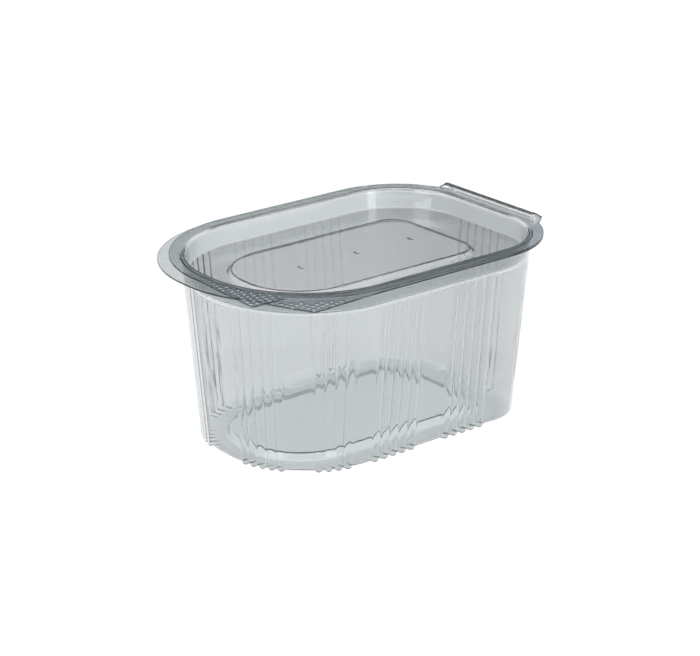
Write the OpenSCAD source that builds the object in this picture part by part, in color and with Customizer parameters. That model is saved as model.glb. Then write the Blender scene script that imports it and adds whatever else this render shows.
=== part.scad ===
// Clear hinged-lid sauce pot, thermoformed from one sheet of film.
// The origin is the middle of the base, on the table; the hinge is at +Y, the grip end at -Y.

/* [Outline] */
// Length of the rim, over the lid's flange
rim_length = 138; // [124:1:160]
// Width of the rim
rim_width = 97.5; // [96:0.5:110]
// Corner radius of the rim at the grip end
grip_radius = 46.8; // [42:0.2:47.6]
// Corner radius of the rim at the hinge end
hinge_radius = 34; // [30:0.5:36]
// Height of the tub to the top of its flange
tub_height = 69; // [45:1:90]
// Thickness of the sheet
wall = 0.5; // [0.4:0.05:0.6]

/* [Rim and collar] */
// Width of the flange, from the foot of the collar to the rim
flange_width = 5; // [4.5:0.25:6]
// Height of the smooth collar that seats the lid
collar_height = 8; // [6:0.5:10]
// How much wider the collar is at its top, on each side
collar_draft = 0.5; // [0.4:0.1:0.8]
// How far the tub's flange stands out past the lid at the grip end
grip_reach = 5; // [3:0.5:7]

/* [Fluted wall] */
// How far the wall leans in from the collar to the base
wall_draft = 5; // [3:0.2:7]
// Distance from one flute to the next
flute_pitch = 4.2; // [3.8:0.1:4.2]
// How far a flute stands out of the wall
flute_depth = 0.7; // [0.4:0.1:0.9]
// Flutes in each group on a long side, and in the group nearest the grip end
side_flutes = 5; // [3:1:5]
// Flutes in the group at the grip corner
corner_flutes = 4; // [3:1:4]
// Flutes in the group at the hinge end
hinge_flutes = 7; // [3:2:7]
// Distance between the two groups on a long side
side_spacing = 33; // [28:1:34]
// How far the side groups sit towards the hinge
side_shift = 5.3; // [4:0.1:6]
// Where the end group sits, in degrees round the grip corner
end_group_turn = 25.5; // [24:0.5:30]
// Where the corner group sits, in degrees round the grip corner
corner_group_turn = 67; // [64:1:70]
// How far the plain hinge corners swell out, as a share of the flute depth
corner_fill = 1; // [0:0.1:1]

/* [Base] */
// Radius of the heel between flutes
heel_radius = 1; // [0.8:0.1:2]
// Radius of the heel along a flute
flute_heel = 0.8; // [0.7:0.1:1]
// Length of a flute's foot under the base
foot_length = 5; // [3:0.5:6]
// How far the base is raised between the feet
foot_lift = 0.6; // [0.2:0.1:1]
// How far the middle of the base is pushed up
panel_rise = 2.5; // [2.4:0.1:4]
// How far the pushed-up wall leans in
panel_lean = 1.2; // [0.8:0.1:2]
// Room round a lid that stands under this base
stack_gap = 0.6; // [0.4:0.1:1]

/* [Lid] */
// Gap between the lid's plug and the collar
plug_gap = 0.3; // [0.2:0.05:0.4]
// Gap between the lid's flange and the tub's flange
seat_gap = 0.1; // [0.05:0.05:0.2]
// Width of the sunk ring round the island
ring_width = 19.6; // [17:0.2:21]
// How far the island sits towards the grip end
island_shift = 3; // [1:0.5:4]
// Height of the island's edge above the sunk ring
island_rise = 1.8; // [1.2:0.1:2.3]
// How far the island's edge leans in
island_lean = 1.7; // [1:0.1:2.5]
// Length of a vent slit
vent_length = 3; // [2:0.25:4]
// Width of a vent slit
vent_width = 0.8; // [0.5:0.1:1.2]
// Distance between vent slits
vent_spacing = 25.7; // [20:0.1:28]
// How far the middle slit sits towards the hinge
vent_shift = 2; // [0:0.5:4]

/* [Grip tabs] */
// Direction of the tub's tab, in degrees round the grip corner
tub_tab_turn = 59; // [55:1:62]
// How far the tub's tab stands out past its rim
tub_tab_reach = 9.4; // [6:0.2:11]
// Direction of the lid's tab, in degrees round the grip corner
lid_tab_turn = 34; // [30:1:38]
// How far the lid's tab stands out past its rim
lid_tab_reach = 11.2; // [8:0.2:13]
// Distance between the pips of the knurl
pip_spacing = 2.4; // [2:0.1:3]
// Width of a pip at its foot
pip_width = 1.4; // [1:0.1:1.6]
// Height of a pip
pip_height = 0.35; // [0.2:0.05:0.5]

/* [Hinge] */
// Length of the hinge along the fold
hinge_length = 54; // [46:1:58]
// Length of the fold itself, where the ends of the strip have drawn in
fold_length = 48; // [40:1:52]
// Distance from the rim to the fold
fold_reach = 3; // [2.5:0.25:5]
// Height of the ridge on the lid along the hinge
ridge_height = 2.4; // [1.5:0.1:3]
// Width of the ridge, up to the fold
ridge_width = 6.8; // [5:0.2:7]
// Gap between the two edges at the fold
fold_gap = 0.1; // [0.1:0.05:0.2]

/* [Hidden] */

film = [0.8, 0.85, 0.87];

// The reference outline is the foot of the collar. All other outlines are measured from it.
half_w = rim_width/2 - flange_width;
half_l = rim_length/2 - flange_width;
grip_r = grip_radius - flange_width;
hinge_r = hinge_radius - flange_width;

// Half of the outline, from the grip end round the +X side to the hinge end
grip_flat = half_w - grip_r;
hinge_flat = half_w - hinge_r;
grip_arc_end = grip_flat + grip_r*PI/2;
side_end = grip_arc_end + 2*half_l - grip_r - hinge_r;
hinge_arc_end = side_end + hinge_r*PI/2;
outline_end = hinge_arc_end + hinge_flat;

// Distances along the half outline
function round_grip(turn) = grip_flat + grip_r*turn*PI/180;
function along_side(y) = grip_arc_end + y + half_l - grip_r;
function round_hinge(turn) = side_end + hinge_r*turn*PI/180;

// Angle round the grip corner, from the grip end
function grip_turn(s) = (s - grip_flat)/grip_r*180/PI;

// Point of the half outline and its outward direction
function outline_at(s) =
    s <= grip_flat ? [[s, -half_l], [0, -1]] :
    s <= grip_arc_end ? corner([grip_flat, grip_r - half_l], grip_r, grip_turn(s) - 90) :
    s <= side_end ? [[half_w, s - grip_arc_end - half_l + grip_r], [1, 0]] :
    s <= hinge_arc_end ? corner([hinge_flat, half_l - hinge_r], hinge_r, (s - side_end)/hinge_r*180/PI) :
    [[hinge_flat - s + hinge_arc_end, half_l], [0, 1]];

function corner(middle, r, a) = [middle + r*[cos(a), sin(a)], [cos(a), sin(a)]];

// A station is [distance along the half outline, flute height 0..1, side +1 or -1].
// Each flute is rounded by three points between its valleys.
flute_steps = [0, 0.2, 0.5, 0.8];
function flute_height(step) = pow(sin(180*step), 0.55);

function flutes(middle, count) =
    [for (i = [0:count - 1], t = flute_steps)
        let (s = middle + (i - count/2 + t)*flute_pitch)
        if (s <= outline_end + 0.001) [s, flute_height(t)]];

function flute_group(middle, count) =
    let (last = middle + count/2*flute_pitch)
    concat(flutes(middle, count), last < outline_end ? [[last, 0]] : []);

// The plain wall is recessed like a valley, but swells out round the hinge corners
function plain_height(s) =
    s > side_end && s < hinge_arc_end ?
    corner_fill*sin(180*(s - side_end)/(hinge_arc_end - side_end)) : 0;
function plain_station(s) = [s, plain_height(s)];

// Plain stations between two distances, ends left out
function plain(a, b, step) =
    let (n = ceil((b - a)/step))
    [for (i = [1:1:n - 1]) plain_station(a + (b - a)*i/n)];

// Joins groups of stations with plain stretches between them
function joined(groups, step, i = 0) =
    i == len(groups) - 1 ? groups[i] :
    concat(groups[i], plain(groups[i][len(groups[i]) - 1][0], groups[i + 1][0][0], step),
        joined(groups, step, i + 1));

// Half of the stations becomes a whole ring, counter-clockwise from the grip end
function whole(half) =
    let (n = len(half))
    concat([for (q = half) [q[0], q[1], 1]], [for (i = [n - 2:-1:1]) [half[i][0], half[i][1], -1]]);

// Turn round the hinge corner at which the hinge strip ends
strip_turn = 90 - asin((hinge_length/2 - hinge_flat)/hinge_radius);
strip_marks = [for (turn = [strip_turn - 3, strip_turn]) [plain_station(round_hinge(turn))]];

tub_stations = whole(joined(concat(
    [[[0, 0]],
    flute_group(round_grip(end_group_turn), side_flutes),
    flute_group(round_grip(corner_group_turn), corner_flutes),
    flute_group(along_side(side_shift - side_spacing/2), side_flutes),
    flute_group(along_side(side_shift + side_spacing/2), side_flutes)],
    strip_marks,
    [flute_group(outline_end, hinge_flutes)]), 6));

lid_stations = whole(joined(concat(
    [[[0, 0]], [[round_grip(lid_tab_turn), 0]], [[round_grip(90), 0]], [[side_end, 0]]],
    strip_marks, [[[outline_end, 0]]]), 5));

function mirrored(v, side) = [side*v[0], v[1]];

// Outline point of a station, moved outwards by a distance and along Y by a shift
function moved(q, out, shift = 0) =
    let (o = outline_at(q[0])) mirrored(o[0] + out*o[1], q[2]) + [0, shift];

function raised(p, z) = [p[0], p[1], z];

// A plain ring of the sheet, and one that follows the flutes from a valley line to a crest line
function ring(stations, out, z, shift = 0) = [for (q = stations) raised(moved(q, out, shift), z)];
function fluted_ring(stations, valley, crest) =
    [for (q = stations) let (m = valley + (crest - valley)*q[1]) raised(moved(q, m[0]), m[1])];

// Distance from the grip corner's middle to the edge of a tab whose sides run tangent to the rim
function tangent_tab(turn, tip_turn, tip) =
    let (spread = acos(grip_radius/tip), off = abs(turn - tip_turn))
    off < spread ? grip_radius/cos(spread - off) : grip_radius;

// The same, with the far side cut off square to the width
function square_tab(turn, tip_turn, tip) =
    turn <= tip_turn ? tangent_tab(turn, tip_turn, tip) :
    max(grip_radius, tip*sin(tip_turn)/sin(turn));

// Only the grip corner on the +X side carries tabs
function on_tab(q) = q[2] > 0 && q[0] > grip_flat && q[0] < grip_arc_end;
function tub_tab(q) = on_tab(q) ?
    tangent_tab(grip_turn(q[0]), tub_tab_turn, grip_radius + tub_tab_reach) - grip_radius : 0;
function lid_tab(q) = on_tab(q) ?
    square_tab(grip_turn(q[0]), lid_tab_turn, grip_radius + lid_tab_reach) - grip_radius : 0;

// Knurl of a tab: a diamond grid of pips round the grip corner's middle, kept inside the tab's edge
// and beyond a line along the length
function tab_pips(tip_turn, inner, line, margin, edge) =
    [for (i = [-9:9], j = [-9:9])
        let (
            along = (i + j)*pip_spacing/sqrt(2),
            out = grip_radius + (i - j)*pip_spacing/sqrt(2),
            r = norm([along, out]),
            turn = tip_turn + atan2(along, out))
        if (r > inner && r < edge(turn) - margin && edge(turn) > grip_radius && r*sin(turn) > line)
            r*[sin(turn), -cos(turn)]];

module knurl(pips, top, shift) {
    middle = [grip_flat, grip_r - half_l + shift, top - wall/2];
    for (p = pips) translate(middle + [p[0], p[1], 0])
        cylinder(h = pip_height + wall/2, d1 = pip_width, d2 = pip_width/3, $fn = 12);
}

// The fold line, and the edge of both flanges along it
fold_y = rim_length/2 + fold_reach;
fold_z = tub_height + seat_gap/2;
function on_strip(q) = q[0] > round_hinge(strip_turn) - 0.001;
function folded(q, p) = on_strip(q) ? [p[0]*fold_length/hinge_length, fold_y - fold_gap/2] : p;

// The grip end of the tub's flange is moved out; its long sides take up the difference
function grip_shift(q) =
    q[0] <= grip_arc_end ? -grip_reach :
    q[0] < side_end ? -grip_reach*(side_end - q[0])/(side_end - grip_arc_end) : 0;

function tub_edge(q) = folded(q, moved(q, flange_width + tub_tab(q), grip_shift(q)));
function lid_edge(q) = folded(q, moved(q, flange_width + lid_tab(q)));

// Closed skin through a list of rings, capped at its first and last ring
module skin(rings) {
    n = len(rings[0]);
    last = len(rings) - 1;
    points = [for (r = rings, p = r) p];
    bands = [for (k = [0:last - 1], i = [0:n - 1])
        let (j = (i + 1)%n, a = k*n, b = k*n + n)
        each [[a + i, b + i, b + j], [a + i, b + j, a + j]]];
    caps = [[for (i = [0:n - 1]) i], [for (i = [n - 1:-1:0]) last*n + i]];
    polyhedron(points = points, faces = concat(bands, caps), convexity = 8);
}

// Heights of the collar and, on the lid, of the sunk ring and the island
collar_foot = tub_height - collar_height;
ledge = 0.3;
plug_foot = collar_foot + ledge + 2*seat_gap;
ring_top = plug_foot + wall;
island_edge = ring_top + island_rise;

// Outward distances, from the outline, of the tub's wall and base
wall_top = [-flute_depth, collar_foot - ledge];
flute_top = [0, collar_foot - ledge];
foot_out = -wall_draft;
island_foot = -ring_width + island_lean;
panel_foot = island_foot + stack_gap;
panel_top = panel_foot - panel_lean;

// Round heel of the tub: start under the base, middle and end on the wall
function heel(out, r, z) =
    [[out - r, z], [out - r*(1 - sin(45)), z + r*(1 - cos(45))], [out, z + r]];
valley_heel = heel(foot_out - flute_depth, heel_radius, foot_lift);
crest_heel = heel(foot_out, flute_heel, 0);
stand_ring = foot_out - foot_length;

// Steps from the outside of the sheet to its inside, along the heel and up the wall
inside_steps = [[0, wall], [-wall*0.7, wall*0.7], [-wall, 0]];
inside_wall = [-wall, 0];

module tub_sheet() {
    q = tub_stations;
    skin([
        ring(q, panel_top, panel_rise, -island_shift),
        ring(q, panel_foot, 0, -island_shift),
        ring(q, stand_ring, 0),
        for (i = [0:2]) fluted_ring(q, valley_heel[i], crest_heel[i]),
        fluted_ring(q, wall_top, flute_top),
        ring(q, 0, collar_foot),
        ring(q, collar_draft, tub_height - wall),
        [for (p = q) raised(tub_edge(p), tub_height - wall)],
        [for (p = q) raised(tub_edge(p), tub_height)],
        ring(q, collar_draft - wall, tub_height),
        ring(q, -wall, collar_foot + ledge),
        fluted_ring(q, wall_top + inside_wall, flute_top + inside_wall),
        for (i = [2:-1:0]) fluted_ring(q, valley_heel[i] + inside_steps[i], crest_heel[i] + inside_steps[i]),
        ring(q, stand_ring, wall),
        ring(q, panel_foot + wall/3, wall, -island_shift),
        ring(q, panel_top + wall/3, panel_rise + wall, -island_shift)]);
}

module tub() {
    edge = function(turn) tangent_tab(turn, tub_tab_turn, grip_radius + tub_tab_reach);
    lid_side = (grip_radius + lid_tab_reach)*sin(lid_tab_turn) + pip_width;
    color(film)
    union() {
        tub_sheet();
        knurl(tab_pips(tub_tab_turn, grip_radius, lid_side, 0.7*pip_width, edge), tub_height, -grip_reach);
    }
}

// Outward distances of the lid's plug, clear of the collar
plug_low = -wall - plug_gap;
plug_high = collar_draft - wall - plug_gap;
lid_flange = tub_height + seat_gap;

// A ring across the lid's flange, from the plug (part 0) to the edge. Along the hinge the flange is
// flat up to the ridge, which is steep towards the plug and slopes down to the fold.
ridge_steps = [0, 0.04, 0.14, 0.28, 0.6, 1];
ridge_lean = 0.55;
flange_parts = len(ridge_steps);
flat_share = 0.6;
function flange_ring(root, part, z) =
    [for (q = lid_stations)
        let (
            a = moved(q, root),
            b = lid_edge(q),
            flat = on_strip(q) ? (fold_y - ridge_width - a[1])/(b[1] - a[1]) : flat_share,
            t = ridge_steps[max(0, part - 1)],
            across = part == 0 ? 0 : flat + (1 - flat)*t,
            lift = on_strip(q) ? ridge_height*sin(180*pow(t, ridge_lean)) : 0)
        raised(a + (b - a)*across, z + lift)];

module lid_sheet() {
    q = lid_stations;
    skin([
        ring(q, -ring_width - wall/3, island_edge - wall, -island_shift),
        ring(q, island_foot - wall/3, plug_foot, -island_shift),
        ring(q, plug_low - wall, plug_foot),
        ring(q, plug_low, plug_foot + wall),
        for (i = [0:flange_parts]) flange_ring(plug_high, i, lid_flange),
        for (i = [flange_parts:-1:0]) flange_ring(plug_high - wall, i, lid_flange + wall),
        ring(q, plug_low - 2*wall, ring_top),
        ring(q, island_foot, ring_top, -island_shift),
        ring(q, -ring_width, island_edge, -island_shift)]);
}

// Slit through the island
module vent() {
    linear_extrude(height = 4*wall, center = true)
    union() {
        square([vent_length - vent_width, vent_width], center = true);
        for (x = [-1, 1]) translate([x*(vent_length - vent_width)/2, 0]) circle(d = vent_width, $fn = 16);
    }
}

module lid() {
    edge = function(turn) square_tab(turn, lid_tab_turn, grip_radius + lid_tab_reach);
    pips_start = grip_radius - flange_width/2;
    color(film)
    difference() {
        union() {
            lid_sheet();
            knurl(tab_pips(lid_tab_turn, pips_start, 0, pip_width, edge), lid_flange + wall, 0);
        }
        for (i = [-1:1]) translate([0, i*vent_spacing + vent_shift, island_edge]) vent();
    }
}

tub();
lid();
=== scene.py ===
"""Clear hinged-lid sauce pot: smooth formed shells, a folding hinge and clear film, around the CAD frame."""
import math

import bmesh
import bpy
import numpy as np
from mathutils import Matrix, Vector
from mathutils.kdtree import KDTree


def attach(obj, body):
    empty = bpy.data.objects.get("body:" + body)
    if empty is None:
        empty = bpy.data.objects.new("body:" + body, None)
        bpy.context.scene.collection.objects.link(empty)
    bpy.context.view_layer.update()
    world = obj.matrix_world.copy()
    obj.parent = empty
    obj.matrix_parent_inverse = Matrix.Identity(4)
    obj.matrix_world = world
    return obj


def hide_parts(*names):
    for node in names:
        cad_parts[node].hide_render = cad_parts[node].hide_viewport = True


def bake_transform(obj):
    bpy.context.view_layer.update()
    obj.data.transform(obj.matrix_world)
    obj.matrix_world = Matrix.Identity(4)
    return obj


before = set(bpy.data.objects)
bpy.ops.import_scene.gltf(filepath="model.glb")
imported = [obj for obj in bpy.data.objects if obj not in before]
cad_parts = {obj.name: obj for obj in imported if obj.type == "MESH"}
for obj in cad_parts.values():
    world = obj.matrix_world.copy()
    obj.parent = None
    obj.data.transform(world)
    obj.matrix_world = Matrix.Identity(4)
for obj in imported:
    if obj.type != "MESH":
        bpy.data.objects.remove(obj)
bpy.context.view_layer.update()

MM = 0.001
TINY = 1e-6
scene = bpy.context.scene

# Sizes of the pot in millimetres and degrees, as in the part's source
RIM_LENGTH, RIM_WIDTH = 138.0, 97.5
GRIP_RADIUS, HINGE_RADIUS = 46.8, 34.0
HEIGHT, WALL = 69.0, 0.5
FLANGE, COLLAR, COLLAR_DRAFT, GRIP_REACH = 5.0, 8.0, 0.5, 5.0
DRAFT, PITCH, DEPTH = 5.0, 4.2, 0.7
SIDE_FLUTES, CORNER_FLUTES, HINGE_FLUTES = 5, 4, 7
SIDE_SPACING, SIDE_SHIFT, END_TURN, CORNER_TURN = 33.0, 5.3, 25.5, 67.0
HEEL, FLUTE_HEEL = 1.0, 0.8
FOOT_LENGTH, FOOT_LIFT, CORNER_FILL = 5.0, 0.6, 1.0
PANEL_RISE, PANEL_LEAN, STACK_GAP = 2.5, 1.2, 0.6
PLUG_GAP, SEAT_GAP, LEDGE = 0.3, 0.1, 0.3
RING, ISLAND_SHIFT, ISLAND_RISE, ISLAND_LEAN = 19.6, 3.0, 1.8, 1.7
VENT_LENGTH, VENT_WIDTH, VENT_SPACING, VENT_SHIFT = 3.0, 0.8, 25.7, 2.0
TUB_TAB_TURN, TUB_TAB_REACH = 59.0, 9.4
LID_TAB_TURN, LID_TAB_REACH = 34.0, 11.2
PIP_SPACING, PIP_WIDTH = 2.4, 1.4
HINGE_LENGTH, FOLD_LENGTH, FOLD_REACH, FOLD_GAP = 54.0, 48.0, 3.0, 0.1
RIDGE, RIDGE_WIDTH, RIDGE_LEAN = 2.4, 6.8, 0.55

half_w = RIM_WIDTH/2 - FLANGE
half_l = RIM_LENGTH/2 - FLANGE
grip_r = GRIP_RADIUS - FLANGE
hinge_r = HINGE_RADIUS - FLANGE
grip_flat = half_w - grip_r
hinge_flat = half_w - hinge_r
grip_end = grip_flat + grip_r*math.pi/2
side_end = grip_end + 2*half_l - grip_r - hinge_r
hinge_end = side_end + hinge_r*math.pi/2
outline_end = hinge_end + hinge_flat
collar_foot = HEIGHT - COLLAR
plug_foot = collar_foot + LEDGE + 2*SEAT_GAP
ring_top = plug_foot + WALL
island_top = ring_top + ISLAND_RISE
island_foot = -RING + ISLAND_LEAN
panel_foot = island_foot + STACK_GAP
panel_top = panel_foot - PANEL_LEAN
lid_flange = HEIGHT + SEAT_GAP
fold_y = RIM_LENGTH/2 + FOLD_REACH
fold_z = HEIGHT + SEAT_GAP/2


def round_grip(turn):
    return grip_flat + grip_r*math.radians(turn)


def along_side(y):
    return grip_end + y + half_l - grip_r


# A station is a place round the outline: distance along one half, flute height and side
FLUTE_STEPS = [0, 0.04, 0.09, 0.15, 0.22, 0.3, 0.4, 0.5, 0.6, 0.7, 0.78, 0.85, 0.91, 0.96]
FLUTE_FULLNESS = 0.275
VALLEY_SOFTNESS = 0.3
TUB_STEP, LID_STEP = 1.3, 1.0
# Length of the soft ramp at each end of the hinge strip
STRIP_RAMP, STRIP_RAMP_STEPS = 1.6, 7


def flute_height(t):
    """Round flute with a softly rounded valley."""
    low = VALLEY_SOFTNESS**FLUTE_FULLNESS
    high = (1 + VALLEY_SOFTNESS)**FLUTE_FULLNESS
    return ((math.sin(math.pi*t)**2 + VALLEY_SOFTNESS)**FLUTE_FULLNESS - low)/(high - low)


def flute_group(middle, count):
    marks = []
    for i in range(count):
        for t in FLUTE_STEPS:
            marks.append((middle + (i - count/2 + t)*PITCH, flute_height(t)))
    marks.append((middle + count/2*PITCH, 0.0))
    return [m for m in marks if m[0] <= outline_end + TINY]


def plain_height(s):
    """The plain wall is recessed, but swells out round the hinge corners."""
    if not side_end < s < hinge_end:
        return 0.0
    return CORNER_FILL*math.sin(math.pi*(s - side_end)/(hinge_end - side_end))


def stations(groups, step):
    half = []
    for g in groups:
        if half:
            a, b = half[-1][0], g[0][0]
            n = max(1, math.ceil((b - a)/step))
            places = [a + (b - a)*i/n for i in range(1, n)]
            half += [(v, plain_height(v)) for v in places]
        half += g
    ring = [(s, h, 1.0) for s, h in half] + [(s, h, -1.0) for s, h in reversed(half[1:-1])]
    return np.array(ring)


strip_turn = 90 - math.degrees(math.asin((HINGE_LENGTH/2 - hinge_flat)/HINGE_RADIUS))
strip_s = side_end + hinge_r*math.radians(strip_turn)
strip_marks = [(v, plain_height(v)) for v in np.linspace(strip_s - STRIP_RAMP, strip_s, STRIP_RAMP_STEPS)]

tub_q = stations([
    [(0.0, 0.0)],
    flute_group(round_grip(END_TURN), SIDE_FLUTES),
    flute_group(round_grip(CORNER_TURN), CORNER_FLUTES),
    flute_group(along_side(SIDE_SHIFT - SIDE_SPACING/2), SIDE_FLUTES),
    flute_group(along_side(SIDE_SHIFT + SIDE_SPACING/2), SIDE_FLUTES),
    strip_marks,
    flute_group(outline_end, HINGE_FLUTES)], TUB_STEP)
lid_q = stations([
    [(0.0, 0.0)],
    [(round_grip(LID_TAB_TURN), 0.0)],
    [(grip_end, 0.0)],
    [(side_end, 0.0)],
    strip_marks,
    [(outline_end, 0.0)]], LID_STEP)


def outline(q):
    """Points and outward directions of the reference outline, the foot of the collar."""
    s = q[:, 0]
    p = np.zeros((len(s), 2))
    d = np.zeros((len(s), 2))
    for i, v in enumerate(s):
        if v <= grip_flat:
            p[i], d[i] = (v, -half_l), (0, -1)
        elif v <= grip_end:
            a = (v - grip_flat)/grip_r - math.pi/2
            d[i] = math.cos(a), math.sin(a)
            p[i] = np.array((grip_flat, grip_r - half_l)) + grip_r*d[i]
        elif v <= side_end:
            p[i], d[i] = (half_w, v - grip_end - half_l + grip_r), (1, 0)
        elif v <= hinge_end:
            a = (v - side_end)/hinge_r
            d[i] = math.cos(a), math.sin(a)
            p[i] = np.array((hinge_flat, half_l - hinge_r)) + hinge_r*d[i]
        else:
            p[i], d[i] = (hinge_flat - v + hinge_end, half_l), (0, 1)
    return p, d


def moved(q, out, shift=0.0):
    """The outline moved outwards, mirrored to each station's side and shifted towards the hinge."""
    p, d = outline(q)
    r = p + np.broadcast_to(out, len(q))[:, None]*d
    r[:, 0] *= q[:, 2]
    r[:, 1] += shift
    return r


def at(xy, z):
    return np.column_stack([xy, np.broadcast_to(z, len(xy))])


def ring(q, out, z, shift=0.0):
    return at(moved(q, out, shift), z)


def fluted(q, valley, crest):
    """Ring between two (out, z) places, by the flute height of each station."""
    m = np.array(valley) + np.outer(q[:, 1], np.array(crest) - np.array(valley))
    return at(moved(q, m[:, 0]), m[:, 1])


# Keeps the turns of a tab clear of angles at which its edge would run off
LEAST_TURN = 1.0


def tangent_tab(turn, tip_turn, tip):
    """Distance of the edge from the grip corner's centre: two straight edges tangent to the rim."""
    spread = math.degrees(math.acos(GRIP_RADIUS/tip))
    off = np.abs(turn - tip_turn)
    edge = GRIP_RADIUS/np.cos(np.radians(np.minimum(spread - off, 90 - LEAST_TURN)))
    return np.where(off < spread, edge, GRIP_RADIUS)


def square_tab(turn, tip_turn, tip):
    """Like the tangent tab, but its edge past the tip runs straight towards the side."""
    kept = np.clip(turn, LEAST_TURN, 180 - LEAST_TURN)
    far = tip*math.sin(math.radians(tip_turn))/np.sin(np.radians(kept))
    return np.where(turn <= tip_turn, tangent_tab(turn, tip_turn, tip), np.maximum(GRIP_RADIUS, far))


def tub_tab(turn):
    return tangent_tab(turn, TUB_TAB_TURN, GRIP_RADIUS + TUB_TAB_REACH)


def lid_tab(turn):
    return square_tab(turn, LID_TAB_TURN, GRIP_RADIUS + LID_TAB_REACH)


def tab_reach(q, tab):
    """How far a tab stands out past the rim at each station; the tabs are on the +X side."""
    on = (q[:, 2] > 0) & (q[:, 0] > grip_flat) & (q[:, 0] < grip_end)
    turn = np.degrees((q[:, 0] - grip_flat)/grip_r)
    return np.where(on, tab(turn) - GRIP_RADIUS, 0.0)


def grip_shift(q):
    """Shift of the tub's flange towards the grip end, fading out along the sides."""
    s = q[:, 0]
    fading = -GRIP_REACH*(side_end - s)/(side_end - grip_end)
    return np.where(s <= grip_end, -GRIP_REACH, np.where(s < side_end, fading, 0.0))


def strip_share(q):
    """0 outside the hinge strip, 1 on it, with a soft ramp at its ends."""
    t = np.clip((q[:, 0] - strip_s + STRIP_RAMP)/STRIP_RAMP, 0, 1)
    return t*t*(3 - 2*t)


def folded(q, xy):
    """Along the hinge strip the edge is drawn out to the fold and drawn in to the fold's length."""
    k = strip_share(q)
    xy = xy.copy()
    xy[:, 0] *= 1 + k*(FOLD_LENGTH/HINGE_LENGTH - 1)
    xy[:, 1] += k*(fold_y - FOLD_GAP/2 - xy[:, 1])
    return xy


def tub_edge(q):
    return folded(q, moved(q, FLANGE + tab_reach(q, tub_tab), grip_shift(q)))


def lid_edge(q):
    return folded(q, moved(q, FLANGE + tab_reach(q, lid_tab)))


# Largest share of a side that a round may take, and where the ring beyond the round lies
ROUND_SHARE, HOLD = 0.44, 1.12


def rounded(path, steps):
    """Rings through a list of (ring, cut); each ring with a cut is rounded off by that length.

    A ring just outside each end of the round keeps the flat beside it flat in the shading.
    """
    rings = []
    for i, (p, cut) in enumerate(path):
        if not cut or i in (0, len(path) - 1):
            rings.append(p)
            continue
        ends, holds = [], []
        for other in (path[i - 1][0], path[i + 1][0]):
            v = other - p
            length = np.linalg.norm(v, axis=1)
            share = np.minimum(cut/np.maximum(length, TINY), ROUND_SHARE)[:, None]
            ends.append(p + v*share)
            holds.append(p + v*share*HOLD)
        rings.append(holds[0])
        for t in np.linspace(0, 1, steps + 1):
            rings.append((1 - t)**2*ends[0] + 2*t*(1 - t)*p + t*t*ends[1])
        rings.append(holds[1])
    return rings


def add_object(name, mesh):
    obj = bpy.data.objects.new(name, mesh)
    scene.collection.objects.link(obj)
    return obj


def object_from_bmesh(name, bm):
    mesh = bpy.data.meshes.new(name)
    bm.to_mesh(mesh)
    bm.free()
    return add_object(name, mesh)


def object_from_faces(name, verts, faces):
    """Object from points in millimetres, with its faces turned outwards and its large ones split."""
    mesh = bpy.data.meshes.new(name)
    mesh.from_pydata([tuple(np.array(v)*MM) for v in verts], [], faces)
    bm = bmesh.new()
    bm.from_mesh(mesh)
    bmesh.ops.triangulate(bm, faces=[f for f in bm.faces if len(f.verts) > 4])
    bmesh.ops.recalc_face_normals(bm, faces=bm.faces)
    bm.to_mesh(mesh)
    bm.free()
    return add_object(name, mesh)


def skin(name, rings):
    """Closed mesh through rings of equal length, with a fan over its first and last ring."""
    n = len(rings[0])
    verts = np.concatenate(rings)
    faces = []
    for k in range(len(rings) - 1):
        a, b = k*n, (k + 1)*n
        for i in range(n):
            j = (i + 1) % n
            faces.append((a + i, a + j, b + j, b + i))
    last = (len(rings) - 1)*n
    middles = len(verts)
    verts = np.concatenate([verts, [rings[0].mean(axis=0), rings[-1].mean(axis=0)]])
    for i in range(n):
        j = (i + 1) % n
        faces.append((middles, j, i))
        faces.append((middles + 1, last + i, last + j))
    return object_from_faces(name, verts, faces)


HEEL_TURNS = np.radians(np.linspace(0, 90, 6))


def heel(out, r, z, thickness):
    """Quarter round from under the base up to the wall, moved inwards by a thickness."""
    r_in = r - thickness
    return [(out - r + r_in*math.sin(a), z + r - r_in*math.cos(a)) for a in HEEL_TURNS]


# Share of the flange's width at which the knurled part of a tab starts
KNURL_START = 0.38
# Width of the band along a cut edge that takes the dark edge film, painted shade
EDGE_BAND = 0.32
# Height of the soft ledge under the collar, and how far flutes stay inside the collar there
SOFT_LEDGE, FLUTE_INSET = 0.7, 0.05
# Flat band round the middle of the base and of the island, inside the rounds of their edges
PANEL_BAND, ISLAND_BAND = 3.0, 1.5
# Change of outline through the thickness of a sloping step
STEP_OFFSET = WALL/3
# Lengths that the rounds of bends take: on the under side and on the upper side of the sheet
PANEL_ROUND, PANEL_FOOT_ROUND, FOOT_ROUND = (0.5, 0.8), (0.9, 0.6), 0.8
LEDGE_ROUND, TUB_ROOT_ROUND, CUT_EDGE_ROUND = 0.3, (0.9, 1.2), 0.08
ISLAND_ROUND, ISLAND_FOOT_ROUND = 0.4, (0.8, 0.9)
PLUG_FOOT_ROUND, LID_ROOT_ROUND = (1.4, 0.9), (0.6, 0.9)
TUB_ROUND_STEPS, LID_ROUND_STEPS = 3, 5


def part_way(root, edge):
    return root + (edge - root)*KNURL_START


def inset(root, edge):
    return edge + (root - edge)*(EDGE_BAND/np.linalg.norm(root - edge, axis=1))[:, None]


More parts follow.
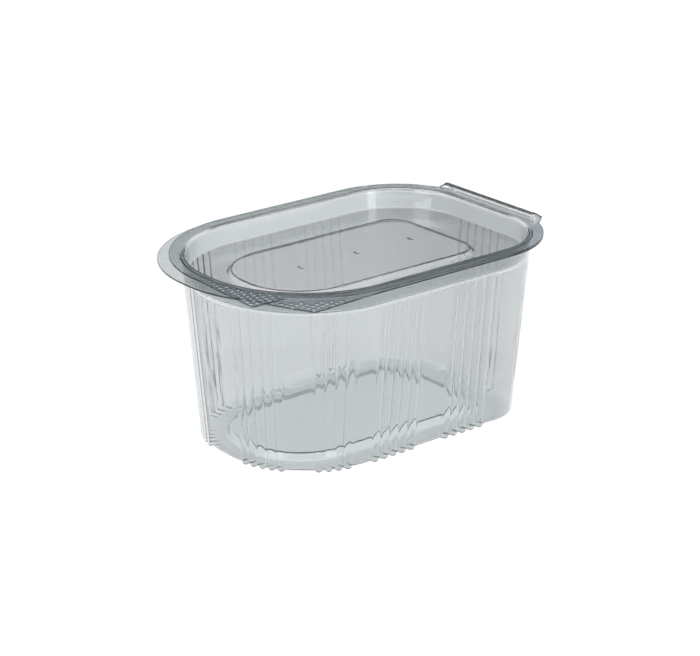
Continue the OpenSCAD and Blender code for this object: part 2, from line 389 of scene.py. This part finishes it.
def make_tub():
    q = tub_q
    valley_under, valley_over = [heel(-DRAFT - DEPTH, HEEL, FOOT_LIFT, t) for t in (0.0, WALL)]
    crest_under, crest_over = [heel(-DRAFT, FLUTE_HEEL, 0.0, t) for t in (0.0, WALL)]
    ledge_z = collar_foot - SOFT_LEDGE
    under, over = at(tub_edge(q), HEIGHT - WALL), at(tub_edge(q), HEIGHT)
    root_under = ring(q, COLLAR_DRAFT, HEIGHT - WALL)
    root_over = ring(q, COLLAR_DRAFT - WALL, HEIGHT)
    panel_over, foot_over = panel_top + STEP_OFFSET, panel_foot + STEP_OFFSET
    path = [
        (ring(q, panel_top - PANEL_BAND, PANEL_RISE, -ISLAND_SHIFT), 0),
        (ring(q, panel_top, PANEL_RISE, -ISLAND_SHIFT), PANEL_ROUND[0]),
        (ring(q, panel_foot, 0.0, -ISLAND_SHIFT), PANEL_FOOT_ROUND[0]),
        (ring(q, -DRAFT - FOOT_LENGTH, 0.0), FOOT_ROUND),
        *[(fluted(q, v, c), 0) for v, c in zip(valley_under, crest_under)],
        (fluted(q, (-DEPTH, ledge_z), (-FLUTE_INSET, ledge_z)), LEDGE_ROUND),
        (ring(q, 0.0, collar_foot), LEDGE_ROUND),
        (root_under, TUB_ROOT_ROUND[0]),
        (part_way(root_under, under), 0),
        (inset(root_under, under), 0),
        (under, CUT_EDGE_ROUND),
        (over, CUT_EDGE_ROUND),
        (inset(root_over, over), 0),
        (part_way(root_over, over), 0),
        (root_over, TUB_ROOT_ROUND[1]),
        (ring(q, -WALL, collar_foot + LEDGE), LEDGE_ROUND),
        (fluted(q, (-DEPTH - WALL, ledge_z), (-WALL - FLUTE_INSET, ledge_z)), LEDGE_ROUND),
        *[(fluted(q, v, c), 0) for v, c in zip(reversed(valley_over), reversed(crest_over))],
        (ring(q, -DRAFT - FOOT_LENGTH, WALL), FOOT_ROUND),
        (ring(q, foot_over, WALL, -ISLAND_SHIFT), PANEL_FOOT_ROUND[1]),
        (ring(q, panel_over, PANEL_RISE + WALL, -ISLAND_SHIFT), PANEL_ROUND[1]),
        (ring(q, panel_top - PANEL_BAND, PANEL_RISE + WALL, -ISLAND_SHIFT), 0)]
    return skin("tub_shell", rounded(path, TUB_ROUND_STEPS))


# Steps across the ridge, closer on its steep side towards the plug
RIDGE_STEPS = np.linspace(0, 1, 15)**2
# Share of the lid's flange that is flat beside the hinge strip, and its limits along the strip
FLAT_SHARE, FLAT_LEAST, FLAT_MOST = 0.6, 0.05, 0.95


def lid_flange_ring(root, t, z):
    """Ring across the lid's flange: the flat part ends at t = 0, the ridge runs from there to the edge."""
    q = lid_q
    k = strip_share(q)
    a, b = moved(q, root), lid_edge(q)
    strip_flat = (fold_y - RIDGE_WIDTH - a[:, 1])/np.maximum(b[:, 1] - a[:, 1], TINY)
    flat = np.where(k > 0, k*strip_flat + (1 - k)*FLAT_SHARE, FLAT_SHARE)
    flat = np.clip(flat, FLAT_LEAST, FLAT_MOST)
    xy = a + (b - a)*(flat + (1 - flat)*t)[:, None]
    return at(xy, z + k*RIDGE*math.sin(math.pi*t**RIDGE_LEAN))


def make_lid():
    q = lid_q
    low = -WALL - PLUG_GAP
    high = COLLAR_DRAFT - WALL - PLUG_GAP
    flange_top = lid_flange + WALL
    island_under = island_top - WALL
    path = [
        (ring(q, -RING - STEP_OFFSET - ISLAND_BAND, island_under, -ISLAND_SHIFT), 0),
        (ring(q, -RING - STEP_OFFSET, island_under, -ISLAND_SHIFT), ISLAND_ROUND),
        (ring(q, island_foot - STEP_OFFSET, plug_foot, -ISLAND_SHIFT), ISLAND_FOOT_ROUND[0]),
        (ring(q, low, plug_foot), PLUG_FOOT_ROUND[0]),
        (ring(q, high, lid_flange), LID_ROOT_ROUND[0]),
        *[(lid_flange_ring(high, t, lid_flange), 0) for t in RIDGE_STEPS[:-1]],
        (lid_flange_ring(high, 1, lid_flange), CUT_EDGE_ROUND),
        (lid_flange_ring(high - WALL, 1, flange_top), CUT_EDGE_ROUND),
        *[(lid_flange_ring(high - WALL, t, flange_top), 0) for t in RIDGE_STEPS[-2::-1]],
        (ring(q, high - WALL, flange_top), LID_ROOT_ROUND[1]),
        (ring(q, low - WALL, ring_top), PLUG_FOOT_ROUND[1]),
        (ring(q, island_foot, ring_top, -ISLAND_SHIFT), ISLAND_FOOT_ROUND[1]),
        (ring(q, -RING, island_top, -ISLAND_SHIFT), ISLAND_ROUND),
        (ring(q, -RING - ISLAND_BAND, island_top, -ISLAND_SHIFT), 0)]
    return skin("lid_shell", rounded(path, LID_ROUND_STEPS))


# Radius and height of the rings of a pip: buried root, soft skirt, side and crown
PIP_LEVELS = [(0.95, -WALL/2), (0.95, 0.01), (0.78, 0.07), (0.58, 0.2), (0.38, 0.31), (0.18, 0.36)]
PIP_SIDES = 12
# Rows of the diamond grid tried on each side of its middle
PIP_ROWS = range(-9, 10)


def add_pip(bm, x, y, top):
    turns = np.linspace(0, 2*math.pi, PIP_SIDES, endpoint=False)
    loops = []
    for radius, h in PIP_LEVELS:
        places = [(x + radius*math.cos(a), y + radius*math.sin(a)) for a in turns]
        loops.append([bm.verts.new((u*MM, v*MM, (top + h)*MM)) for u, v in places])
    for lo, hi in zip(loops, loops[1:]):
        for k in range(PIP_SIDES):
            j = (k + 1) % PIP_SIDES
            bm.faces.new((lo[k], lo[j], hi[j], hi[k]))
    bm.faces.new(loops[-1])
    bm.faces.new(list(reversed(loops[0])))


def pips(tab, tip_turn, inner, line, margin, top, shift):
    """Low domes in a diamond grid over a tab, as one mesh of separate closed domes."""
    bm = bmesh.new()
    root = PIP_SPACING/math.sqrt(2)
    for i in PIP_ROWS:
        for j in PIP_ROWS:
            along, out = (i + j)*root, GRIP_RADIUS + (i - j)*root
            r = math.hypot(along, out)
            turn = tip_turn + math.degrees(math.atan2(along, out))
            limit = float(tab(np.array([turn]))[0])
            across = r*math.sin(math.radians(turn))
            if inner < r < limit - margin and limit > GRIP_RADIUS and across > line:
                y = grip_r - half_l + shift - r*math.cos(math.radians(turn))
                add_pip(bm, grip_flat + across, y, top)
    return object_from_bmesh("pips", bm)


# The tub's pips keep this share of a pip's width from the edge, and clear of the lid's tab above them
PIP_MARGIN = 0.7
lid_side = (GRIP_RADIUS + LID_TAB_REACH)*math.sin(math.radians(LID_TAB_TURN)) + PIP_WIDTH


def tub_pips(top):
    return pips(tub_tab, TUB_TAB_TURN, GRIP_RADIUS, lid_side, PIP_MARGIN*PIP_WIDTH, top, -GRIP_REACH)


def lid_pips(top):
    return pips(lid_tab, LID_TAB_TURN, GRIP_RADIUS - FLANGE/2, 0.0, PIP_WIDTH, top, 0.0)


# Radius to which the vent slits are bent, points along one, and how far a cutter reaches up and down
VENT_BEND, VENT_STEPS, VENT_REACH = 3.2, 10, 3.0


def vents():
    """Curved slits through the island, as closed prisms."""
    bm = bmesh.new()
    reach = math.asin(VENT_LENGTH/2/VENT_BEND)
    marks = np.linspace(-reach, reach, VENT_STEPS)
    curve = [(VENT_BEND*math.sin(a), VENT_BEND*(1 - math.cos(a))) for a in marks]
    edge = [(x, y + VENT_WIDTH/2) for x, y in curve] + [(x, y - VENT_WIDTH/2) for x, y in reversed(curve)]
    n = len(edge)
    for i in (-1, 0, 1):
        middle = i*VENT_SPACING + VENT_SHIFT
        low, high = [], []
        for x, y in edge:
            low.append(bm.verts.new((x*MM, (middle + y)*MM, (island_top - VENT_REACH)*MM)))
            high.append(bm.verts.new((x*MM, (middle + y)*MM, (island_top + VENT_REACH)*MM)))
        for k in range(n):
            j = (k + 1) % n
            bm.faces.new((low[k], low[j], high[j], high[k]))
        bm.faces.new(high)
        bm.faces.new(list(reversed(low)))
    bmesh.ops.recalc_face_normals(bm, faces=bm.faces)
    return object_from_bmesh("vents", bm)


def cut_or_join(obj, other, operation):
    mod = obj.modifiers.new("boolean", "BOOLEAN")
    mod.operation, mod.object, mod.solver = operation, other, "EXACT"
    deps = bpy.context.evaluated_depsgraph_get()
    mesh = bpy.data.meshes.new_from_object(obj.evaluated_get(deps))
    obj.modifiers.clear()
    old = obj.data
    name = old.name
    obj.data = mesh
    bpy.data.meshes.remove(old)
    mesh.name = name
    bpy.data.objects.remove(other)


# Section of the fold, its slices along the hinge, and what it leaves free at each end
FOLD_INNER, FOLD_OUTER, FOLD_ARC_STEPS = 0.06, 0.54, 13
FOLD_SLICES, FOLD_END_GAP = 40, 0.3


def make_fold():
    """Thin bend that joins the two flanges along the hinge; it lies flat when the lid is open."""
    turns = np.linspace(-math.pi/2, math.pi/2, FOLD_ARC_STEPS)
    tail = -FOLD_GAP/2
    section = [(tail, -FOLD_OUTER)]
    section += [(FOLD_OUTER*math.cos(a), FOLD_OUTER*math.sin(a)) for a in turns]
    section += [(tail, FOLD_OUTER), (tail, FOLD_INNER)]
    section += [(FOLD_INNER*math.cos(a), FOLD_INNER*math.sin(a)) for a in reversed(turns)]
    section += [(tail, -FOLD_INNER)]
    end = FOLD_LENGTH/2 - FOLD_END_GAP
    slices = np.linspace(-end, end, FOLD_SLICES)
    verts = [(x, fold_y + y, fold_z + z) for x in slices for y, z in section]
    n = len(section)
    faces = [(k*n + i, k*n + (i + 1) % n, (k + 1)*n + (i + 1) % n, (k + 1)*n + i)
             for k in range(FOLD_SLICES - 1) for i in range(n)]
    faces += [tuple(range(n)), tuple(range((FOLD_SLICES - 1)*n, FOLD_SLICES*n))]
    return object_from_faces("hinge_fold", verts, faces)


tub = make_tub()
lid = make_lid()
fold = make_fold()

# The knurl is pressed through the sheet: raised above it and hollow below it
for shell, knurl, top in ((tub, tub_pips, HEIGHT), (lid, lid_pips, lid_flange + WALL)):
    cut_or_join(shell, knurl(top), "UNION")
    cut_or_join(shell, knurl(top - WALL), "DIFFERENCE")
cut_or_join(lid, vents(), "DIFFERENCE")

SHARP_ANGLE = math.radians(40)
for shell in (tub, lid, fold):
    shell.data.shade_smooth()
    shell.data.set_sharp_from_angle(angle=SHARP_ANGLE)


# Clear PET film. Its tint may deepen towards the hinge, painted shade for the hinge end's walls seen at a
# grazing angle;
# its surface has the shallow waves and upright draw streaks of forming, and roughens a little in patches.
HINGE_SHADE_FROM, HINGE_SHADE_TO = 0.040, 0.066
WAVE_SCALE, WAVE_STRENGTH = 90.0, 0.06
STREAKS_PER_METRE, STREAK_STRENGTH = (300.0, 300.0, 9.0), 0.05
NOISE_DETAIL, BUMP_DEPTH = 2.0, 0.001
ROUGHNESS_LOW, ROUGHNESS_HIGH = 0.015, 0.05
PET_IOR = 1.575


def clear_film(name, tint, hinge_shade_share):
    mat = bpy.data.materials.new(name)
    mat.use_nodes = True
    nt = mat.node_tree
    shader = nt.nodes["Principled BSDF"]
    shader.inputs["Transmission Weight"].default_value = 1.0
    shader.inputs["IOR"].default_value = PET_IOR
    shader.inputs["Base Color"].default_value = (*tint, 1)
    place = nt.nodes.new("ShaderNodeTexCoord").outputs["Object"]

    def node(kind, **values):
        made = nt.nodes.new(kind)
        for key, value in values.items():
            made.inputs[key.replace("_", " ")].default_value = value
        return made

    def noise(vector, scale):
        made = node("ShaderNodeTexNoise", Scale=scale, Detail=NOISE_DETAIL)
        nt.links.new(vector, made.inputs["Vector"])
        return made.outputs["Fac"]

    # Painted shade: towards the hinge end (+Y) the tint darkens to its hinge share, standing in for walls
    # seen at a grazing angle
    if hinge_shade_share < 1:
        xyz = node("ShaderNodeSeparateXYZ")
        nt.links.new(place, xyz.inputs["Vector"])
        along = node("ShaderNodeMapRange", From_Min=HINGE_SHADE_FROM, From_Max=HINGE_SHADE_TO)
        along.interpolation_type = "SMOOTHSTEP"
        nt.links.new(xyz.outputs["Y"], along.inputs["Value"])
        hinge_shade = nt.nodes.new("ShaderNodeMix")
        hinge_shade.data_type = "RGBA"
        unshaded_end, shaded_end = [socket for socket in hinge_shade.inputs if socket.type == "RGBA"]
        unshaded_end.default_value = (*tint, 1)
        shaded_end.default_value = (*[hinge_shade_share*v for v in tint], 1)
        nt.links.new(along.outputs["Result"], hinge_shade.inputs["Factor"])
        result = next(socket for socket in hinge_shade.outputs if socket.type == "RGBA")
        nt.links.new(result, shader.inputs["Base Color"])

    waves = noise(place, WAVE_SCALE)
    rough = node("ShaderNodeMapRange", To_Min=ROUGHNESS_LOW, To_Max=ROUGHNESS_HIGH)
    nt.links.new(waves, rough.inputs["Value"])
    nt.links.new(rough.outputs["Result"], shader.inputs["Roughness"])

    stretch = node("ShaderNodeMapping", Scale=STREAKS_PER_METRE)
    nt.links.new(place, stretch.inputs["Vector"])
    streaks = noise(stretch.outputs["Vector"], 1.0)
    wave_bump = node("ShaderNodeBump", Strength=WAVE_STRENGTH, Distance=BUMP_DEPTH)
    streak_bump = node("ShaderNodeBump", Strength=STREAK_STRENGTH, Distance=BUMP_DEPTH)
    nt.links.new(waves, wave_bump.inputs["Height"])
    nt.links.new(streaks, streak_bump.inputs["Height"])
    nt.links.new(wave_bump.outputs["Normal"], streak_bump.inputs["Normal"])
    nt.links.new(streak_bump.outputs["Normal"], shader.inputs["Normal"])
    return mat


# Tint of one sheet of each film, set against the photo, and the share of it left at the hinge.
# The tints stand in for the thickness that forming leaves; the share left at the hinge is painted shade, and
# the edge and crease films are painted shade: dark lines along the cut edges and round the island's edges.
FILM_TINTS = {
    "wall": ((0.755, 0.778, 0.79), 0.88),
    "base": ((0.83, 0.88, 0.89), 1),
    "collar": ((0.86, 0.885, 0.89), 0.88),
    "lid": ((0.87, 0.868, 0.872), 1),
    "flange": ((0.80, 0.84, 0.85), 1),
    # Dark film along the cut edges of both flanges: painted shade
    "edge": ((0.60, 0.63, 0.66), 1),
    "plug": ((0.77, 0.795, 0.80), 0.88),
    # Dark film on the rounds of the island's edges: painted shade
    "crease": ((0.34, 0.35, 0.36), 1),
    "knurl": ((0.78, 0.83, 0.87), 1),
    "thin": ((0.98, 0.985, 0.99), 1),
    "step": ((0.84, 0.88, 0.89), 1),
    "foot": ((0.74, 0.785, 0.795), 1)}
FILMS = {name: clear_film("pet_" + name, *values) for name, values in FILM_TINTS.items()}


def film_zones(obj, zone):
    """Each face takes the film that its place and direction call for."""
    obj.data.materials.clear()
    for mat in FILMS.values():
        obj.data.materials.append(mat)
    slots = {name: i for i, name in enumerate(FILMS)}
    for f in obj.data.polygons:
        f.material_index = slots[zone(f.center/MM, f.normal)]


def distance_to(points):
    """Function telling how far a place lies from the nearest of some points, seen from above."""
    tree = KDTree(len(points))
    for i, (x, y) in enumerate(points):
        tree.insert((x, y, 0), i)
    tree.balance()
    return lambda c: tree.find((c.x, c.y, 0))[2]


# Step between points along a cut edge, and the share of the edge band within which a face counts as edge
EDGE_STEP, EDGE_SHARE = 0.15, 0.75


def edge_finder(points):
    """Function telling whether a place lies in the band along a cut edge; the strip at the fold has none."""
    fine = []
    for a, b in zip(points, np.roll(points, -1, axis=0)):
        count = max(2, int(np.linalg.norm(b - a)/EDGE_STEP))
        fine += [a + (b - a)*i/count for i in range(count)]
    distance = distance_to(fine)
    return lambda c: c.y < fold_y - FOLD_REACH/2 and distance(c) < EDGE_BAND*EDGE_SHARE


near_tub_edge = edge_finder(tub_edge(tub_q))
near_lid_edge = edge_finder(lid_edge(lid_q))
step_distance = distance_to(moved(tub_q, (panel_foot + panel_top)/2, -ISLAND_SHIFT))

# Limits of the zones: how level a face is (the size of its normal's Z) and how far zones reach
TUB_BEND_LEVEL, LID_BEND_LEVEL, CREASE_SHADE_LEVEL = (0.2, 0.97), (0.3, 0.93), (0.74, 0.985)
STEP_LEVEL, STEEP_LEVEL = 0.995, 0.5
STEP_REACH = 4.5
TUB_BEND_DROP, LID_BEND_DROP, FLANGE_DROP = 2.0, 0.9, 0.4
RIDGE_MARGIN, RING_MARGIN, ISLAND_MARGIN = 0.2, 0.4, 0.1
KNURL_RISE, KNURL_MARGIN = 0.5, 1.0


def between(value, limits):
    return limits[0] < value < limits[1]


def on_knurl(c, tab, shift, inner):
    """Whether a place on a flange belongs to the knurled part of a tab."""
    x, y = c.x - grip_flat, c.y - grip_r + half_l - shift
    limit = float(tab(np.array([math.degrees(math.atan2(x, -y))]))[0])
    return x > 0 and math.hypot(x, y) > inner and limit > GRIP_RADIUS + KNURL_RISE


def tub_zone(c, n):
    level = abs(n.z)
    on_edge = c.z > HEIGHT - TUB_BEND_DROP and near_tub_edge(c)
    if between(level, TUB_BEND_LEVEL) and between(c.z, (HEIGHT - TUB_BEND_DROP, HEIGHT)) and not on_edge:
        return "thin"
    if c.z > HEIGHT - WALL - FLANGE_DROP:
        # The band along the cut edge takes the dark edge film: painted shade
        if on_edge:
            return "edge"
        return "knurl" if on_knurl(c, tub_tab, -GRIP_REACH, GRIP_RADIUS) else "flange"
    if c.z > collar_foot:
        return "collar"
    if c.z > PANEL_RISE + 2*WALL:
        return "wall"
    if level < STEP_LEVEL and step_distance(c) < STEP_REACH:
        return "step"
    return "foot" if c.z < FOOT_LIFT + 2*WALL else "base"


def lid_zone(c, n):
    level = abs(n.z)
    on_ridge = c.y > fold_y - RIDGE_WIDTH - RIDGE_MARGIN and abs(c.x) < HINGE_LENGTH/2
    on_edge = c.z > lid_flange - LID_BEND_DROP and near_lid_edge(c)
    in_bend = between(c.z, (lid_flange - LID_BEND_DROP, lid_flange + WALL)) and between(level, LID_BEND_LEVEL)
    if in_bend and not on_ridge and not on_edge:
        return "thin"
    if c.z > lid_flange - FLANGE_DROP:
        # The band along the cut edge takes the dark edge film: painted shade
        if on_edge:
            return "edge"
        if on_ridge:
            return "thin"
        knurl_from = GRIP_RADIUS - FLANGE/2 - KNURL_MARGIN
        return "knurl" if on_knurl(c, lid_tab, 0.0, knurl_from) else "flange"
    if c.z < ring_top + RING_MARGIN or c.z > island_top + ISLAND_MARGIN or level < STEEP_LEVEL:
        return "plug"
    # The sloping rounds of the island's edges take a dark film: painted shade for the dark lines they show
    return "crease" if between(level, CREASE_SHADE_LEVEL) else "lid"


def fold_zone(c, n):
    return "flange"


film_zones(tub, tub_zone)
film_zones(lid, lid_zone)
film_zones(fold, fold_zone)

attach(tub, "tub")
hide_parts("tub")
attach(lid, "lid")
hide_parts("lid")
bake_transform(fold)


# Studio in metres: glowing pale floor, a room that is dark towards the horizon and pale above, soft lights
FLOOR_HALF, FLOOR_DROP = 4.0, 0.0002
FLOOR_COLOUR, FLOOR_ROUGHNESS, FLOOR_GLOW = (0.08, 0.08, 0.08, 1), 0.9, (1, 1, 1, 1)
HORIZON_COLOUR, ZENITH_COLOUR = (0.08, 0.085, 0.09, 1), (1, 1, 1, 1)
# Sine of the elevation up to which the room is dark, and from which it is fully pale
DARK_UP_TO, PALE_FROM = 0.7, 0.92
# Place, target, width and height, and power in watts of each light
LIGHTS = {
    "key": ((-0.5, -0.7, 1.2), (0, 0, 0.03), (0.8, 0.8), 1.6),
    "back": ((-0.6, 0.45, 1.1), (0, 0, 0.03), (0.8, 0.45), 1.6),
    "left_box": ((0.07, -0.39, 0.16), (0, 0, 0.05), (0.20, 0.32), 0.5),
    "right_box": ((0.41, 0.07, 0.16), (0, 0, 0.05), (0.10, 0.32), 0.28)}
CAMERA_PLACE, CAMERA_TARGET = (0.6220, -0.5035, 0.3397), (-0.00087, 0.00009, 0.034755)
SENSOR_WIDTH, LENS, CLIP_START = 36.0, 119.64, 0.01
# Light passes many sheets of film on its way through the pot
BOUNCES = 32


def make_floor():
    bm = bmesh.new()
    for x, y in ((-1, -1), (1, -1), (1, 1), (-1, 1)):
        bm.verts.new((x*FLOOR_HALF, y*FLOOR_HALF, -FLOOR_DROP))
    bm.faces.new(bm.verts)
    obj = object_from_bmesh("floor", bm)
    mat = bpy.data.materials.new("pale_floor")
    mat.use_nodes = True
    shader = mat.node_tree.nodes["Principled BSDF"]
    shader.inputs["Base Color"].default_value = FLOOR_COLOUR
    shader.inputs["Roughness"].default_value = FLOOR_ROUGHNESS
    shader.inputs["Specular IOR Level"].default_value = 0.0
    shader.inputs["Emission Color"].default_value = FLOOR_GLOW
    shader.inputs["Emission Strength"].default_value = 1.0
    obj.data.materials.append(mat)


def make_world():
    world = bpy.data.worlds.new("studio")
    scene.world = world
    world.use_nodes = True
    nt = world.node_tree
    background = nt.nodes["Background"]
    background.inputs["Strength"].default_value = 1.0
    direction = nt.nodes.new("ShaderNodeTexCoord")
    xyz = nt.nodes.new("ShaderNodeSeparateXYZ")
    ramp = nt.nodes.new("ShaderNodeValToRGB")
    low, high = ramp.color_ramp.elements
    low.position, low.color = DARK_UP_TO, HORIZON_COLOUR
    high.position, high.color = PALE_FROM, ZENITH_COLOUR
    nt.links.new(direction.outputs["Generated"], xyz.inputs["Vector"])
    nt.links.new(xyz.outputs["Z"], ramp.inputs["Fac"])
    nt.links.new(ramp.outputs["Color"], background.inputs["Color"])


def aim(obj, place, target):
    obj.location = place
    obj.rotation_euler = (Vector(target) - Vector(place)).to_track_quat("-Z", "Y").to_euler()


def make_light(name, place, target, size, power):
    light = bpy.data.lights.new(name, "AREA")
    light.shape = "RECTANGLE"
    light.size, light.size_y = size
    light.energy = power
    aim(add_object(name, light), place, target)


make_floor()
make_world()
for name, values in LIGHTS.items():
    make_light(name, *values)

camera = add_object("camera", bpy.data.cameras.new("camera"))
aim(camera, CAMERA_PLACE, CAMERA_TARGET)
camera.data.sensor_width, camera.data.lens, camera.data.clip_start = SENSOR_WIDTH, LENS, CLIP_START
scene.camera = camera

scene.view_settings.view_transform = "Standard"
scene.cycles.max_bounces = BOUNCES
scene.cycles.transmission_bounces = BOUNCES
scene.cycles.transparent_max_bounces = BOUNCES
